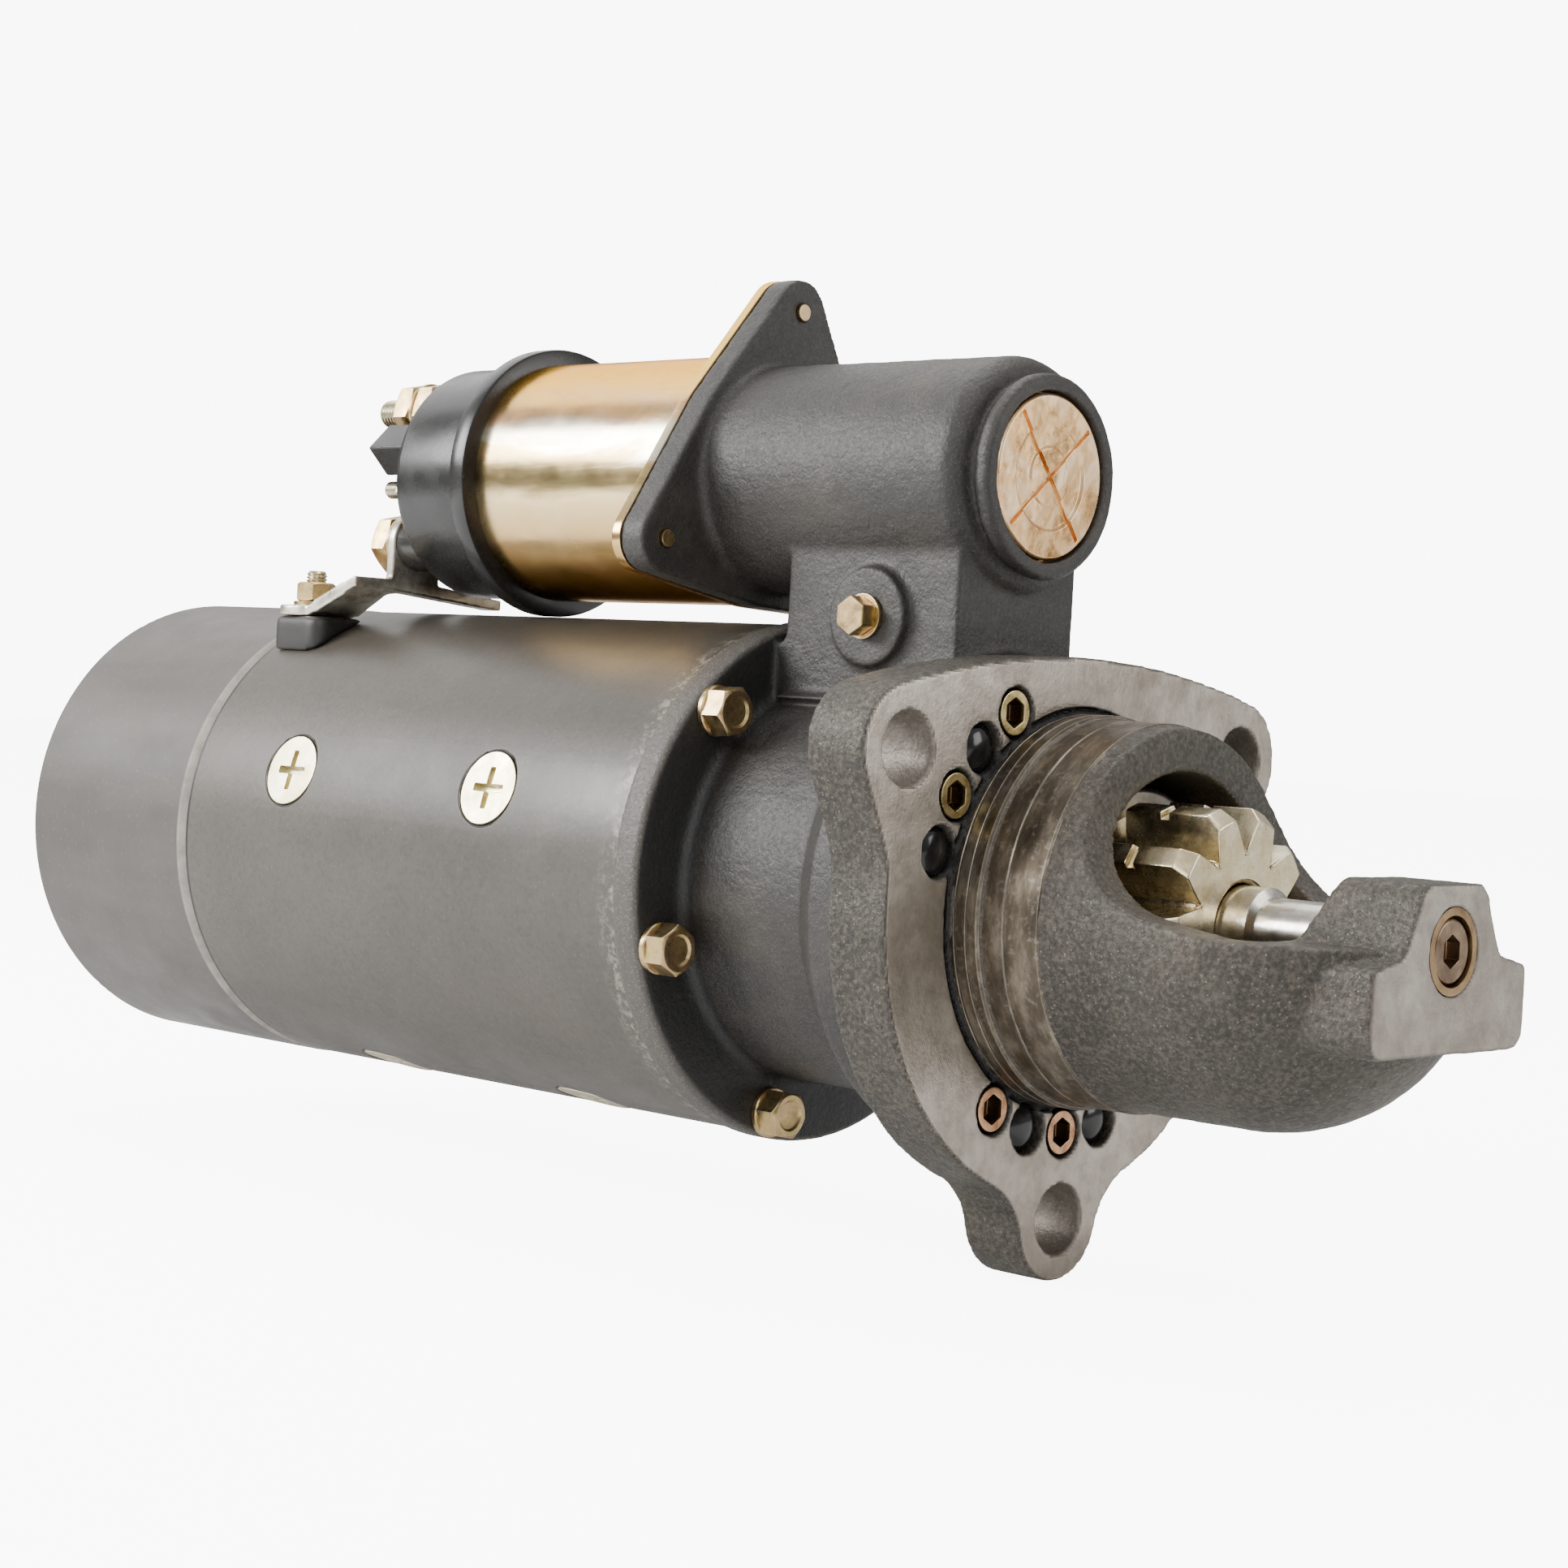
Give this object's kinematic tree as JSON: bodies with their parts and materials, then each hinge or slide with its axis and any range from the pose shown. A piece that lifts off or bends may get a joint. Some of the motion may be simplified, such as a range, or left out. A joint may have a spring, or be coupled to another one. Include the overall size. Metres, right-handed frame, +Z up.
{
  "type": "starter motor",
  "caption": "Heavy-duty engine starter motor with a top solenoid, shift lever, sliding overrunning drive and open nose housing with a three-ear mounting flange.",
  "frame": {"origin": "centre of the mounting flange's machined front face, on the shaft axis", "axes": "+X along the shaft towards the pinion and nose, +Z up to the solenoid, +Y to the side away from the frame terminal"},
  "size_m": [0.441, 0.1564, 0.2419],
  "materials": {
    "frame_paint": "satin",
    "lever_casting": "rough cast",
    "nose_casting": "raw cast with machined faces",
    "zinc_yellow": "yellow zinc plate",
    "pale_gold_zinc": "pale zinc plate",
    "solenoid_zinc": "iridescent yellow zinc plate",
    "black_plastic": "satin",
    "grey_plastic": "moulded",
    "black_gloss": "gloss",
    "black_rubber": "matte",
    "copper_screw": "copper plate",
    "copper": "bright",
    "tinned_strap": "tin plate",
    "bronze_bush": "sintered",
    "terminal_steel": "zinc plate",
    "iron_core": "plain iron",
    "bright_steel": "ground",
    "drive_steel": "oiled",
    "pinion_steel": "machined, straw tinted",
    "spring_steel": "oiled",
    "carbon": "sintered carbon"
  },
  "bodies": {
    "housing": {"field_frame": "frame_paint", "commutator_end_cap": "frame_paint", "lever_housing": "lever_casting", "nose_housing": "nose_casting", "pole_shoes": "iron_core", "pole_screws": "pale_gold_zinc", "field_coils": "copper", "end_cap_bolts": "zinc_yellow", "frame_bolts": "zinc_yellow", "nose_screws": "copper_screw", "hole_plugs": "black_gloss", "lever_pivot_bolt": "zinc_yellow", "pivot_washer": "zinc_yellow", "access_plug": "pale_gold_zinc", "nose_plug": "bright_steel", "rear_bushing": "bronze_bush", "middle_bearing_plate": "iron_core", "middle_bushing": "bronze_bush", "shaft_seal": "black_rubber", "nose_bushing": "bronze_bush", "frame_seals": "black_rubber", "nose_seal": "black_rubber", "brush_holder": "grey_plastic", "brushes": "carbon", "brush_springs": "spring_steel", "solenoid_case": "solenoid_zinc", "solenoid_screws": "zinc_yellow", "solenoid_cap": "black_plastic", "solenoid_bobbin": "grey_plastic", "solenoid_winding": "copper", "solenoid_core": "iron_core", "battery_terminal": "copper", "motor_terminal": "copper", "switch_terminal": "terminal_steel", "terminal_nuts": "terminal_steel", "switch_nut": "terminal_steel", "terminal_shroud": "black_plastic", "connector_strap": "tinned_strap", "frame_terminal": "terminal_steel", "frame_terminal_nut": "zinc_yellow", "terminal_insulator": "grey_plastic"},
    "armature": {"armature_shaft": "bright_steel", "armature_core": "iron_core", "armature_windings": "copper", "commutator": "copper"},
    "drive": {"drive_sleeve": "drive_steel", "shift_collar": "drive_steel", "cushion_spring": "spring_steel", "clutch_shell": "drive_steel", "clutch_rollers": "bright_steel", "clutch_retainer": "bright_steel"},
    "pinion": {"pinion": "pinion_steel"},
    "shift_lever": {"shift_lever": "drive_steel", "lever_shoes": "drive_steel"},
    "plunger": {"plunger": "bright_steel", "plunger_link": "bright_steel", "link_pin": "bright_steel", "plunger_spring": "spring_steel", "contact_rod": "bright_steel", "contact_disc": "copper"}
  },
  "joints": [
    {"name": "armature_spin", "type": "hinge", "parent": "housing", "child": "armature", "pos_m": [0, 0, 0], "axis": [1, 0, 0], "continuous": true},
    {"name": "drive_slide", "type": "slide", "parent": "armature", "child": "drive", "axis": [1, 0, 0], "range_m": [0, 0.0212]},
    {"name": "pinion_overrun", "type": "hinge", "parent": "drive", "child": "pinion", "pos_m": [0, 0, 0], "axis": [1, 0, 0], "continuous": true},
    {"name": "lever_swing", "type": "hinge", "parent": "housing", "child": "shift_lever", "pos_m": [-0.0493, 0, 0.0666], "axis": [0, -1, 0], "range_deg": [0, 18.05]},
    {"name": "plunger_slide", "type": "slide", "parent": "housing", "child": "plunger", "axis": [-1, 0, 0], "range_m": [0, 0.01118], "stiffness_N_per_m": 1500, "springref_m": -0.01, "deforming": ["plunger_spring"]}
  ],
  "couplings": [
    {"joint": "drive_slide", "follows": "plunger_slide", "ratio": 1.864},
    {"joint": "lever_swing", "follows": "plunger_slide", "rad_per_m": 28.1}
  ]
}
